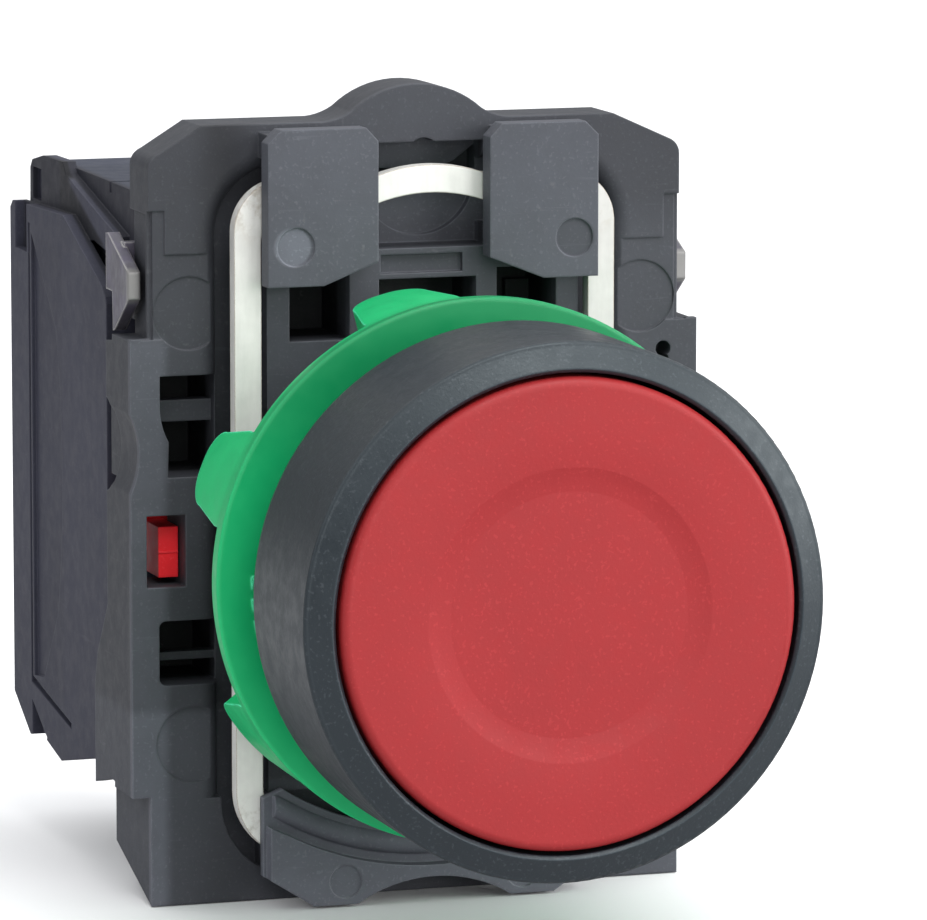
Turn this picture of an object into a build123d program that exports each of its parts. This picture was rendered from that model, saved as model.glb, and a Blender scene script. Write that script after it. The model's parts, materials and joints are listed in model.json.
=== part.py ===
from build123d import *
import math
import os

# ---------------------------------------------------------------------------
# Flush 22 mm panel push button: plastic head with return-spring button, panel
# fixing nut, clip-on fixing collar and one normally-closed contact block.
# Millimetres.  +Z is up and the button faces -Y, so front is -Y, back is +Y,
# left is -X and right is +X.  The origin is on the head's axis where it
# crosses the panel's front face.
# ---------------------------------------------------------------------------

# Head, in front of the panel
BEZEL_R = 14.5            # front outer radius
BEZEL_REAR_R = 13.75      # radius at the panel
BEZEL_FRONT_Y = -11.4     # outer front edge
BEZEL_BACK_Y = -0.3
LIP_Y = -12.0             # inner lip
LIP_R = 13.1              # inner edge of the sloping front ring
WELL_R = 12.9             # bore the button runs in
WELL_FLOOR_Y = -2.2
SEAL_SEAT_R = 9.3         # recess in the well floor
GASKET_SEAT_Y = -0.8      # bottom of the gasket groove
BUTTON_R = 12.67
BUTTON_FACE_Y = -12.15
CAP_BACK_Y = BUTTON_FACE_Y + 1.9
TRAVEL = 4.3              # full button travel

# Head, behind the panel
THREAD_R = 11.15          # crest radius (22.3 mm barrel)
THREAD_ROOT_R = 10.55
THREAD_PITCH = 1.5
THREAD_START_Y, THREAD_END_Y = 2.4, 11.8
NOSE_R = 9.4
NOSE_START_Y, NOSE_END_Y = 12.5, 18.7
GROOVE_Y0, GROOVE_Y1, GROOVE_R = 12.8, 14.2, 8.75
BARREL_BORE_R = 7.5
REAR_BORE_R = 8.0
STOP_Y = 10.0             # shoulder that stops the pusher at rest
PUSH_R = 7.44
PUSH_BORE_R = PUSH_R - 1.2
PUSH_FLANGE_R = 7.92
PUSH_FLANGE_END_Y = 17.5
PUSH_BOSS_R = 5.85        # end boss that passes the contact block
PUSH_END_Y = 18.9


# --- helpers ---------------------------------------------------------------
# Outlines are lists of 2-D points; an entry ("arc", middle, end) is an arc
# that starts at the previous point.
def box(x0, x1, y0, y1, z0, z1):
    centre = Pos((x0 + x1) / 2, (y0 + y1) / 2, (z0 + z1) / 2)
    return centre * Box(abs(x1 - x0), abs(y1 - y0), abs(z1 - z0))


def cyl_y(radius, y0, y1, x=0.0, z=0.0):
    return Pos(x, (y0 + y1) / 2, z) * Rot(90, 0, 0) * Cylinder(radius, y1 - y0)


def mapped(points, change):
    """The outline with every point passed through a function."""
    return [("arc", change(p[1]), change(p[2])) if p[0] == "arc" else change(p)
            for p in points]


def sided(points, side):
    """Outline drawn at +x, kept there for side 1 or mirrored for side -1."""
    return mapped(points, lambda p: (side * p[0], p[1]))


def closed_face(points, place):
    """Face inside an outline, its points made 3-D by place."""
    points = mapped(points, place)
    edges = []
    start = previous = points[0]
    for point in points[1:] + [start]:
        if point[0] == "arc":
            edges.append(ThreePointArc(previous, point[1], point[2]))
            previous = point[2]
        elif point != previous:
            edges.append(Line(previous, point))
            previous = point
    return make_face(edges)


def prism_y(points, y0, y1):
    """Outline (x, z), extruded from y0 to y1."""
    face = closed_face(points, lambda p: (p[0], y0, p[1]))
    return extrude(face, amount=y1 - y0, dir=(0, 1, 0))


def prism_x(points, x0, x1):
    """Outline (y, z), extruded from x0 to x1."""
    face = closed_face(points, lambda p: (x0, p[0], p[1]))
    return extrude(face, amount=x1 - x0, dir=(1, 0, 0))


def prism_z(points, z0, z1):
    """Outline (x, y), extruded from z0 to z1."""
    face = closed_face(points, lambda p: (p[0], p[1], z0))
    return extrude(face, amount=z1 - z0, dir=(0, 0, 1))


def rev_y(points, x=0.0, z=0.0):
    """Outline (radius, y), revolved about the Y-direction axis through (x, z)."""
    face = closed_face(points, lambda p: (p[0], p[1], 0.0))
    return Pos(x, 0, z) * revolve(face, axis=Axis.Y, revolution_arc=360)


def rounded_outline(half_x, bottom, top, bottom_r, top_r, top_detail=()):
    """Rounded rectangle (x, z), with optional entries along its top edge."""
    mid = 0.2929          # inset of a quarter arc's middle, per unit radius
    return [
        (-half_x, bottom + bottom_r), (-half_x, top - top_r),
        ("arc", (-half_x + top_r * mid, top - top_r * mid), (-half_x + top_r, top)),
        *top_detail,
        (half_x - top_r, top),
        ("arc", (half_x - top_r * mid, top - top_r * mid), (half_x, top - top_r)),
        (half_x, bottom + bottom_r),
        ("arc", (half_x - bottom_r * mid, bottom + bottom_r * mid),
         (half_x - bottom_r, bottom)),
        (-half_x + bottom_r, bottom),
        ("arc", (-half_x + bottom_r * mid, bottom + bottom_r * mid),
         (-half_x, bottom + bottom_r)),
    ]


def coil_y(mean_r, wire_r, y0, y1, turns, x=0.0, z=0.0):
    """Helical compression spring between the planes y0 and y1."""
    height = (y1 - y0) - 2 * wire_r
    path = Helix(pitch=height / turns, height=height, radius=mean_r)
    wire = Plane(origin=path @ 0, z_dir=path % 0) * Circle(wire_r)
    return Pos(x, y0 + wire_r, z) * Rot(-90, 0, 0) * sweep(wire, path=path)


def one(shape):
    """A lone solid by itself, several as one compound."""
    solids = shape.solids()
    return solids[0] if len(solids) == 1 else Compound(children=list(solids))


# --- head ------------------------------------------------------------------
def bezel_body():
    """Bezel and barrel in one moulding; the thread is a row of closed rings."""
    front = [
        (BARREL_BORE_R, WELL_FLOOR_Y + 1.7),
        (SEAL_SEAT_R, WELL_FLOOR_Y + 1.7), (SEAL_SEAT_R, WELL_FLOOR_Y),
        (WELL_R, WELL_FLOOR_Y), (WELL_R, LIP_Y + 0.18),
        (LIP_R, LIP_Y),
        (BEZEL_R - 0.22, BEZEL_FRONT_Y - 0.03),
        ("arc", (BEZEL_R - 0.05, BEZEL_FRONT_Y + 0.05), (BEZEL_R, BEZEL_FRONT_Y + 0.24)),
        (BEZEL_R - 0.02, -2.15),
        ("arc", (BEZEL_REAR_R + 0.42, -1.1), (BEZEL_REAR_R, BEZEL_BACK_Y)),
        (13.42, BEZEL_BACK_Y), (13.42, GASKET_SEAT_Y),
        (12.2, GASKET_SEAT_Y), (12.2, BEZEL_BACK_Y),
        (THREAD_R, BEZEL_BACK_Y),
    ]
    y = THREAD_START_Y
    thread = [(THREAD_R, y)]
    while y + THREAD_PITCH <= THREAD_END_Y + 0.01:
        thread += [
            (THREAD_ROOT_R, y + 0.35), (THREAD_ROOT_R, y + 0.85),
            (THREAD_R, y + 1.2), (THREAD_R, y + THREAD_PITCH),
        ]
        y += THREAD_PITCH
    thread.append((THREAD_ROOT_R, y + 0.3))
    nose = [
        (THREAD_ROOT_R, NOSE_START_Y), (NOSE_R, NOSE_START_Y),
        (NOSE_R, GROOVE_Y0), (GROOVE_R, GROOVE_Y0),
        (GROOVE_R, GROOVE_Y1), (NOSE_R, GROOVE_Y1),
        (NOSE_R, NOSE_END_Y - 0.4), (NOSE_R - 0.4, NOSE_END_Y),
        (REAR_BORE_R, NOSE_END_Y), (REAR_BORE_R, STOP_Y),
        (BARREL_BORE_R, STOP_Y),
    ]
    return rev_y(front + thread + nose)


def panel_gasket():
    """Flat rubber ring in the groove behind the bezel."""
    return rev_y([
        (12.3, GASKET_SEAT_Y), (12.3, -0.12), (12.45, 0.0),
        (13.2, 0.0), (13.35, -0.12), (13.35, GASKET_SEAT_Y)])


def button_seal():
    """Lip seal round the pusher, in the floor of the well."""
    seal_r = SEAL_SEAT_R - 0.02
    return rev_y([
        (PUSH_R + 0.05, -1.5), (PUSH_R + 0.05, -1.2), (7.95, -0.5), (seal_r, -0.5),
        (seal_r, WELL_FLOOR_Y + 0.05), (8.5, WELL_FLOOR_Y + 0.05), (8.2, -1.5)])


def button_cap():
    """Cap with a shallow dish in the face, rolled rim, skirt and rear socket ring."""
    face = BUTTON_FACE_Y
    skirt_end = WELL_FLOOR_Y - TRAVEL - 0.05
    return rev_y([
        (0.0, face + 0.30), (6.6, face + 0.30),
        ("arc", (7.25, face + 0.22), (7.9, face + 0.08)),
        ("arc", (9.2, face + 0.01), (10.6, face)),
        (BUTTON_R - 0.55, face + 0.02),
        ("arc", (BUTTON_R - 0.15, face + 0.17), (BUTTON_R, face + 0.57)),
        (BUTTON_R, skirt_end), (BUTTON_R - 0.8, skirt_end),
        (BUTTON_R - 0.9, CAP_BACK_Y),
        (PUSH_BORE_R, CAP_BACK_Y), (PUSH_BORE_R, face + 4.2),
        (PUSH_BORE_R - 1.0, face + 4.2), (PUSH_BORE_R - 1.0, CAP_BACK_Y),
        (0.0, CAP_BACK_Y),
    ])


def button_pusher():
    """Hollow pusher that carries the cap's motion to the contact block."""
    pusher = rev_y([
        (PUSH_BORE_R, CAP_BACK_Y), (PUSH_R, CAP_BACK_Y), (PUSH_R, STOP_Y + 0.05),
        (PUSH_FLANGE_R, STOP_Y + 0.05), (PUSH_FLANGE_R, PUSH_FLANGE_END_Y - 0.4),
        (PUSH_FLANGE_R - 0.4, PUSH_FLANGE_END_Y), (PUSH_BOSS_R, PUSH_FLANGE_END_Y),
        (PUSH_BOSS_R, PUSH_END_Y - 0.3), (PUSH_BOSS_R - 0.3, PUSH_END_Y),
        (0.0, PUSH_END_Y), (0.0, PUSH_END_Y - 1.6), (PUSH_BOSS_R - 1.2, PUSH_END_Y - 1.6),
        (PUSH_BOSS_R - 1.2, PUSH_FLANGE_END_Y - 1.4),
        (PUSH_BORE_R, PUSH_FLANGE_END_Y - 1.4)])
    # three crossed webs inside the rear end
    for angle in (0, 60, 120):
        pusher += Rot(0, angle, 0) * box(
            -PUSH_R + 0.9, PUSH_R - 0.9,
            PUSH_FLANGE_END_Y - 6.0, PUSH_FLANGE_END_Y - 0.6, -0.5, 0.5)
    return pusher


# --- fixing nut ------------------------------------------------------------
NUT_Y = 2.66              # clamping face with a 2.66 mm panel
NUT_R = 15.15
NUT_RIM_T = 1.75
NUT_BODY_R = 12.9
NUT_BODY_END = 9.0
NUT_BORE_R = 11.22
TOOTH_ROOT_Y = NUT_Y + 0.55
TOOTH_TIP_Y = 9.5
TOOTH_R = NUT_R - 0.03
TOOTH_INNER_R = 12.3
TOOTH_ROOT_X = 2.75       # half width at the rim
TOOTH_TIP_X = 1.15        # half width that sets the rear end
# degrees from +X towards +Z
TOOTH_ANGLES = (104.3, 157.8, 217.5, 284.3, 337.8, 37.5)
GRIP_ANGLES = (185.5, 305.5, 65.5)
GRIP_STEP = 5.3


def nut_tooth():
    """Axial key tooth at the top of the nut: wide at the rim, narrow at the rear."""
    tooth = prism_z([
        (TOOTH_ROOT_X, TOOTH_ROOT_Y), (TOOTH_ROOT_X, TOOTH_ROOT_Y + 1.2),
        (TOOTH_TIP_X + 1.0, TOOTH_TIP_Y - 1.75),
        ("arc", (TOOTH_TIP_X + 0.52, TOOTH_TIP_Y - 0.52), (TOOTH_TIP_X - 0.75, TOOTH_TIP_Y)),
        (-TOOTH_TIP_X + 0.75, TOOTH_TIP_Y),
        ("arc", (-TOOTH_TIP_X - 0.52, TOOTH_TIP_Y - 0.52),
         (-TOOTH_TIP_X - 1.0, TOOTH_TIP_Y - 1.75)),
        (-TOOTH_ROOT_X, TOOTH_ROOT_Y + 1.2), (-TOOTH_ROOT_X, TOOTH_ROOT_Y),
    ], 12.2, TOOTH_R + 0.4)
    ring = cyl_y(TOOTH_R, TOOTH_ROOT_Y, TOOTH_TIP_Y)
    ring -= cyl_y(TOOTH_INNER_R, TOOTH_ROOT_Y - 1, TOOTH_TIP_Y + 1)
    return tooth & ring


def fixing_nut():
    nut = rev_y([
        (NUT_BORE_R + 0.5, NUT_Y), (NUT_R - 0.18, NUT_Y),
        ("arc", (NUT_R - 0.05, NUT_Y + 0.05), (NUT_R, NUT_Y + 0.18)),
        (NUT_R - 0.02, NUT_Y + 0.85),
        ("arc", (NUT_R - 0.2, NUT_Y + 1.45), (NUT_R - 0.75, NUT_Y + NUT_RIM_T)),
        (NUT_BODY_R, NUT_Y + NUT_RIM_T + 0.15),
        (NUT_BODY_R - 0.15, NUT_BODY_END - 0.4), (NUT_BODY_R - 0.55, NUT_BODY_END),
        (NUT_BORE_R + 0.5, NUT_BODY_END),
        (NUT_BORE_R, NUT_BODY_END - 0.5), (NUT_BORE_R, NUT_Y + 0.5),
    ])
    tooth = nut_tooth()
    for angle in TOOTH_ANGLES:
        nut += Rot(0, -(angle - 90.0), 0) * tooth
    # serrations that bite the back of the panel, in groups of three
    for middle in GRIP_ANGLES:
        for angle in (middle - GRIP_STEP, middle, middle + GRIP_STEP):
            serration = prism_x(
                [(NUT_Y + 0.2, -0.55), (NUT_Y + 0.2, 0.75), (NUT_Y - 0.3, -0.45)],
                12.2, 13.2)
            nut += Rot(0, -angle, 0) * serration
    return nut


# --- fixing collar ---------------------------------------------------------
COL_Y = 14.64             # front face outside the locking frame
PLATE_T = 3.8
COL_BACK_Y = COL_Y + PLATE_T
CORE_Y = 13.45            # front of the raised centre inside the locking frame
CORE_X = 9.1
CORE_BOTTOM_Z, CORE_TOP_Z = -13.6, 17.8
WIDE_X = 16.64            # half widths: middle, upper and lower parts
UP_X = 15.55
LOW_X = 15.6
TOP_Z = 23.76
BOT_Z = -20.0
CHEEK_T = 0.6
CHEEK_STEP_Y = 19.75
CHEEK_BACK_Y = 22.6
NOSE_HOLE_R = 9.48
CHANNEL_X = 11.5          # groove the locking frame moves in
CHANNEL_TOP_Z, CHANNEL_BOTTOM_Z = 21.4, -18.7
CHANNEL_TOP_R, CHANNEL_BOTTOM_R = 3.8, 4.4
SHOULDER_R = 1.1          # rounding of the groove's outer front edge
TAB_Y0, TAB_Y1 = 11.4, 12.72

# Upper front plate with the half-round ear on top: (x, z)
UPPER_PLATE = [
    (-UP_X, 11.5), (-UP_X, 21.4), ("arc", (-15.35, 21.95), (-14.95, 22.25)),
    (-12.5, TOP_Z), (-5.4, TOP_Z), ("arc", (-4.6, 23.92), (-3.8, 24.3)),
    ("arc", (0.0, 25.75), (3.8, 24.3)), ("arc", (4.6, 23.92), (5.4, TOP_Z)),
    (11.6, TOP_Z), (14.95, 22.25), ("arc", (15.35, 21.95), (UP_X, 21.4)), (UP_X, 11.5),
]
# Side cheek: (y, z)
CHEEK = [
    (COL_Y, 12.0), (CHEEK_STEP_Y, 11.4), (CHEEK_STEP_Y, 8.2),
    ("arc", (17.6, 5.5), (CHEEK_STEP_Y, 2.9)), (CHEEK_STEP_Y, -3.6), (22.0, -6.7),
    (CHEEK_BACK_Y, -8.6), (CHEEK_BACK_Y, -14.25), (19.0, -13.45), (COL_Y, -13.75),
]
# Side windows and step, drawn on the right: (x, z)
UPPER_HOOK_WINDOW = [
    (14.95, 9.9), (14.95, 8.0), ("arc", (14.75, 6.9), (14.45, 6.2)),
    (14.5, 4.2), (11.6, 4.2), (11.6, 9.9)]
PLUNGER_WINDOW = [(15.75, 2.1), (15.75, -1.95), (13.5, -1.95), (13.5, 2.1)]
LOWER_HOOK_WINDOW = [
    (14.7, -3.85), ("arc", (14.93, -3.95), (15.05, -4.2)), (15.05, -7.1),
    ("arc", (14.93, -7.38), (14.65, -7.5)), (11.4, -7.5), (11.4, -3.85)]
UPPER_STEP = [
    (16, 11.95), (16, 19.1), (14.62, 19.1), (14.62, 16.65), (11.6, 16.65), (11.6, 11.95)]
# Notch in the upper side edge for the steel side plate: (x, y)
SIDE_NOTCH = [
    (17, COL_Y + 0.55), (15.62, COL_Y + 0.55), (15.3, COL_Y + 1.0), (15.3, 30), (17, 30)]
# Tab that holds the locking frame against the collar, right one: (x, z)
FRAME_TAB = [
    (9.6, 15.0), (9.6, 22.95), (8.85, 23.7), (3.95, 23.7), (3.25, 22.95),
    (3.25, 16.25), (6.4, 15.0)]


def core_outline(bottom):
    """Outline (x, z) of the raised centre, down to a given height."""
    return [
        (-CORE_X, bottom), (-CORE_X, 15.3), ("arc", (-8.35, 17.05), (-6.6, CORE_TOP_Z)),
        (6.6, CORE_TOP_Z), ("arc", (8.35, 17.05), (CORE_X, 15.3)), (CORE_X, bottom)]


def collar_blank():
    """Plates, cheeks, raised centre and nose sleeve."""
    collar = prism_y(UPPER_PLATE, COL_Y, COL_BACK_Y)
    collar += box(-WIDE_X, WIDE_X, COL_Y, COL_BACK_Y, -13.8, 12.0)
    # lower part with a slanting underside, hollowed from behind
    lower = prism_x(
        [(COL_Y, -13.0), (22.0, -13.0), (22.0, -17.6), (COL_Y, BOT_Z)], -LOW_X, LOW_X)
    lower -= box(-LOW_X + 1.1, LOW_X - 1.1, COL_BACK_Y, 23, -16.6, -12.0)
    collar += lower
    collar += prism_x(CHEEK, -WIDE_X, -WIDE_X + CHEEK_T)
    collar += prism_x(CHEEK, WIDE_X - CHEEK_T, WIDE_X)
    collar += prism_y(core_outline(CORE_BOTTOM_Z), CORE_Y, COL_Y + 0.5)
    collar += cyl_y(NOSE_HOLE_R + 1.5, COL_Y + 0.2, 18.6)
    return collar


def shoulder(edge):
    """Quarter-round cutter (distance, y) outside a groove edge."""
    return [
        (edge - 0.3, COL_Y - 0.2), (edge + SHOULDER_R, COL_Y - 0.2),
        (edge + SHOULDER_R, COL_Y),
        ("arc", (edge + 0.293 * SHOULDER_R, COL_Y + 0.293 * SHOULDER_R),
         (edge, COL_Y + SHOULDER_R)),
        (edge - 0.3, COL_Y + SHOULDER_R)]


def cut_frame_channel(collar):
    """Groove for the locking frame, its edge rounded at the sides and top."""
    channel = prism_y(
        rounded_outline(CHANNEL_X, CHANNEL_BOTTOM_Z, CHANNEL_TOP_Z,
                        CHANNEL_BOTTOM_R, CHANNEL_TOP_R),
        COL_Y - 0.1, COL_Y + 1.6)
    channel -= prism_y(core_outline(-19.6), COL_Y - 1, COL_Y + 3)
    collar -= channel
    corner_x = CHANNEL_X - CHANNEL_TOP_R
    corner_z = CHANNEL_TOP_Z - CHANNEL_TOP_R
    for side in (-1, 1):
        collar -= prism_z(sided(shoulder(CHANNEL_X), side), -14.0, corner_z)
        ring = rev_y(shoulder(CHANNEL_TOP_R), side * corner_x, corner_z)
        collar -= ring & box(side * corner_x, side * 14.0, COL_Y - 1, COL_Y + 3,
                             corner_z, 24.0)
    top_edge = mapped(shoulder(CHANNEL_TOP_Z), lambda p: (p[1], p[0]))
    collar -= prism_x(top_edge, -corner_x, corner_x)
    return collar


def cut_centre(collar):
    """Openings, pockets and head hole in and above the raised centre."""
    # opening behind the top of the frame, with a bar and a wall inside it
    collar -= prism_y([
        (-3.1, 16.7), (-3.1, 22.5), (-0.2, 22.5), ("arc", (0.4, 22.72), (1.0, 22.5)),
        (3.9, 22.5), (3.9, 16.7)], CORE_Y - 1, COL_BACK_Y - 0.8)
    collar += prism_y([
        (-3.2, 22.6), (-3.2, 20.9), (1.9, 20.9), (2.7, 21.2), (4.0, 22.2),
        (4.0, 22.6)], 16.4, 17.9)
    wall = box(-4.2, 4.6, COL_Y + 1.6, COL_Y + 3.0, 16.0, 20.4)
    wall -= cyl_y(3.3, COL_Y + 1.4, COL_Y + 2.2, 0.6, 20.4)
    collar += wall
    # round relief in the top edge of the centre, shallow recess below it
    collar -= cyl_y(3.6, CORE_Y - 1, COL_Y + 0.6, 0.0, 21.0) & box(-4, 4, 10, 18, 16, 21.5)
    collar -= box(-2.5, 2.3, CORE_Y - 0.5, CORE_Y + 0.4, 15.3, 16.35)
    # boxed pockets either side, and one between them
    for side in (-1, 1):
        collar += box(side * 3.7, side * 8.4, COL_BACK_Y - 0.2, 19.2, 11.2, 15.9)
        collar -= box(side * 4.3, side * 7.8, CORE_Y - 1, 18.8, 11.7, 15.45)
    collar -= box(-2.6, 3.1, CORE_Y - 1, COL_BACK_Y - 0.6, 10.9, 15.0)
    # head hole, with a counterbore for the thread
    collar -= cyl_y(NOSE_HOLE_R, CORE_Y - 1, 30)
    collar -= cyl_y(THREAD_R + 0.25, CORE_Y - 1, CORE_Y + 0.35)
    # slot the lever's tongue moves in
    collar -= box(-3.3, 3.3, CORE_Y - 1, GROOVE_Y1, -14.6, -8.0)
    return collar


def detail_sides(collar):
    """Scallops, windows, notches, shallow marks and rear rails."""
    for side in (-1, 1):
        collar -= cyl_y(5.3, COL_Y - 1, 24, side * 21.44, 5.6)
    for side in (-1, 1):
        # closed chambers behind the two hook windows
        collar += box(side * 11.0, side * 15.9, COL_BACK_Y - 0.2, 21.4, 3.6, 10.4)
        collar += box(side * 11.0, side * 15.9, COL_BACK_Y - 0.2, 21.4, -8.0, -3.3)
        # windows for the block hooks and the plunger, crossbars in the hook ones
        collar -= prism_y(sided(UPPER_HOOK_WINDOW, side), COL_Y - 1, 20.8)
        collar += box(side * 14.9, side * 11.3, COL_Y + 1.5, COL_Y + 2.6, 7.15, 8.35)
        collar -= prism_y(sided(PLUNGER_WINDOW, side), COL_Y - 1, COL_BACK_Y + 0.1)
        collar -= prism_y(sided(LOWER_HOOK_WINDOW, side), COL_Y - 1, 20.8)
        collar += box(side * 15.05, side * 11.3, COL_Y + 1.7, COL_Y + 2.7, -6.35, -5.9)
        collar -= prism_z(sided(SIDE_NOTCH, side), 11.9, 18.9)
        # area of the upper plate set slightly back, deeper along its edge
        collar -= prism_y(sided(UPPER_STEP, side), COL_Y - 1, COL_Y + 0.1)
        collar -= box(side * 16, side * 15.3, COL_Y - 1, COL_Y + 0.3, 11.95, 19.1)
        # shallow round ejector mark
        collar -= cyl_y(2.05, COL_Y - 1, COL_Y + 0.2, side * 13.25, 13.35)
        # rear rail that a contact block hooks on
        collar += box(side * 15.2, side * 6.4, COL_BACK_Y - 0.2, 21.6, 12.6, 14.15)
    # lower round marks, and a small hole at the upper right
    for side in (-1, 1):
        collar -= cyl_y(2.15, COL_Y - 1, COL_Y + 0.12, side * 13.1, -10.9)
    collar -= cyl_y(0.45, COL_Y - 1, COL_Y + 2.0, 14.63, 10.3)
    return collar


def add_frame_tabs(collar):
    """Fixed tabs in front of the locking frame, each on two stems."""
    for side, mark_x in ((1, 8.2), (-1, -8.0)):
        tab = prism_y(sided(FRAME_TAB, side), TAB_Y0, TAB_Y1)
        tab -= cyl_y(1.08, TAB_Y0 - 1, TAB_Y0 + 0.12, mark_x, 17.2)
        tab += box(side * 8.6, side * 4.2, TAB_Y1 - 0.1, CORE_Y + 0.4, 16.4, 17.6)
        tab += box(side * 9.2, side * 4.2, TAB_Y1 - 0.1, COL_Y + 0.6, 21.9, 23.3)
        collar += tab
    return collar


def collar_body():
    collar = cut_frame_channel(collar_blank())
    collar = cut_centre(collar)
    collar = detail_sides(collar)
    return add_frame_tabs(collar)


def side_plate(side):
    """Steel plate that stands in the collar's side notch, with a flat foot."""
    inner_x, outer_x = side * 15.7, side * 16.4
    plate = prism_x([
        (20.5, 17.35), (20.1, 17.4), (15.85, 15.6), (15.85, 14.1), (18.75, 12.1),
        (19.1, 12.0), (19.2, 14.2), (20.5, 14.2)],
        min(inner_x, outer_x), max(inner_x, outer_x))
    plate += box(side * 15.9, side * 13.3, COL_BACK_Y + 0.02, COL_BACK_Y + 0.7, 14.4, 17.0)
    return plate


# --- locking frame and lever -----------------------------------------------
FRAME_X = 11.1
FRAME_TOP_Z, FRAME_BOTTOM_Z = 20.82, -17.4
FRAME_W = 1.55
FRAME_Y0, FRAME_T = 13.0, 0.9
LEAF_BACK_Y = 12.94
TONGUE_X = 3.1
TONGUE_BACK_Y = 13.95

# Front and rear leaves of the lever: (x, z)
FRONT_LEAF = [
    (-9.55, -18.3), (-9.55, -15.3), (-8.6, -15.75), ("arc", (0.0, -17.95), (8.6, -15.75)),
    (9.55, -15.3), (9.55, -18.3), (7.05, -19.9), (4.5, -19.9),
    ("arc", (0.0, -18.6), (-4.5, -19.9)), (-7.05, -19.9)]
REAR_LEAF = [
    (-9.75, -18.2), (-9.75, -13.75), (-8.6, -13.3), ("arc", (0.0, -15.9), (8.6, -13.3)),
    (9.75, -13.75), (9.75, -18.2), (7.05, -19.8), (4.5, -19.8),
    ("arc", (0.0, -18.5), (-4.5, -19.8)), (-7.05, -19.8)]


def frame_outline(inset):
    top = FRAME_TOP_Z - inset
    bulge = [(-2.9, top), ("arc", (0.3, top + 0.55), (3.5, top))]
    return rounded_outline(FRAME_X - inset, FRAME_BOTTOM_Z + inset, top,
                           3.9 - inset * 0.8, 2.9 - inset * 0.6, bulge)


def lock_frame():
    """Flat steel frame held behind the tabs; it springs the lever up."""
    frame = prism_y(frame_outline(0.0), FRAME_Y0, FRAME_Y0 + FRAME_T)
    frame -= prism_y(frame_outline(FRAME_W), FRAME_Y0 - 1, FRAME_Y0 + 2)
    return frame


def lock_lever():
    """Thumb piece below, tongue up to the groove of the barrel nose."""
    lever = prism_y(FRONT_LEAF, TAB_Y0, 12.6)
    lever += prism_y(REAR_LEAF, 12.3, LEAF_BACK_Y)
    # rounded ridge above the thumb face
    ridge = Pos(0, 12.4, 0) * Rot(90, 0, 0) * Torus(16.85, 0.62)
    lever += ridge & box(-9.2, 9.2, 11.7, 12.9, -18.5, -13.6)
    # shallow round marks in the thumb face
    for x in (-5.2, 5.2):
        lever -= cyl_y(0.95, TAB_Y0 - 1, TAB_Y0 + 0.1, x, -18.6)
    tongue = box(-TONGUE_X, TONGUE_X, GROOVE_Y0 + 0.1, TONGUE_BACK_Y, -15.78, -8.2)
    tongue -= cyl_y(GROOVE_R + 0.07, 12, 15)
    lever += box(-TONGUE_X, TONGUE_X, 12.3, LEAF_BACK_Y, -16.3, -15.3)
    lever += box(-TONGUE_X, TONGUE_X, 12.3, TONGUE_BACK_Y, -15.78, -15.3) + tongue
    return lever


# --- contact block ---------------------------------------------------------
BLK_X0, BLK_X1 = -16.0, -6.0
BLK_Y0, BLK_Y1 = 22.0, 43.5
WALL = 1.2
COVER_X = BLK_X1 - 1.0    # joint between housing and cover
SCREW_X = -11.0
PLUNGER_Z = -0.1
BRIDGE_X = -10.7
BRIDGE_Y = 24.8           # front face of the moving bridge
BRIDGE_T = 0.6
TIP_DZ = 4.7              # contact tips above and below the plunger axis
PAD_Y = BRIDGE_Y - 0.8    # rear face of the fixed contact pads
TERMINAL_Y = 39.0         # rear face of the terminal plates
SEAT_Y = 36.9             # seat of the plunger spring
SLOT_Z = (-1.85, 1.65)    # plunger slot
# name: (direction from the plunger axis, height of the screw)
TERMINALS = {"upper": (1, 10.6), "lower": (-1, -9.2)}

# Block profiles: (y, z)
BOTTOM_EDGE = [
    (BLK_Y1, -12.6), (39.75, -14.6), (36.8, -14.15), (32.6, -14.93), (24.4, -13.25),
    (23.6, -12.4), (BLK_Y0, -10.4)]
OUTER_SKIN = [
    (22.2, 13.5), (22.9, 14.0), (31.4, 17.15), (42.9, 16.85), (BLK_Y1, 16.4),
    *BOTTOM_EDGE, (BLK_Y0, 13.1)]
INNER_SKIN = [
    (22.2, 13.45), (31.4, 13.45), (31.4, 16.9), (BLK_Y1, 16.2), *BOTTOM_EDGE, (BLK_Y0, 13.1)]
TOP_RIDGE = [
    (22.3, 15.5), (22.3, 16.85), (33.7, 19.25), (34.4, 19.9), (38.8, 19.85), (41.3, 19.4),
    (41.8, 18.9), (41.9, 15.6), (31.1, 15.6), (27.6, 16.1)]
BODY = [
    (19.3, 14.3), (19.3, 19.5), (38.5, 19.6), (38.9, 16.25), (BLK_Y1, 16.15),
    *BOTTOM_EDGE, (BLK_Y0, 12.4), (21.8, 12.4), (21.8, 14.3)]
CAVITY = [
    (23.3, 11.2), (27.0, 11.2), (27.0, 12.4), (32.2, 12.4), (32.2, 15.9), (37.4, 15.9),
    (37.4, 14.9), (42.3, 14.9), (42.3, -11.8), (39.3, -13.1), (30.0, -13.1),
    (25.9, -12.3), (25.0, -11.7), (23.3, -9.9)]
MARKING_PANEL = [
    (38.7, 15.4), (33.2, 10.4), ("arc", (31.9, 2.0), (33.2, -6.4)), (36.4, -10.6),
    (38.7, -10.9)]


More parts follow.
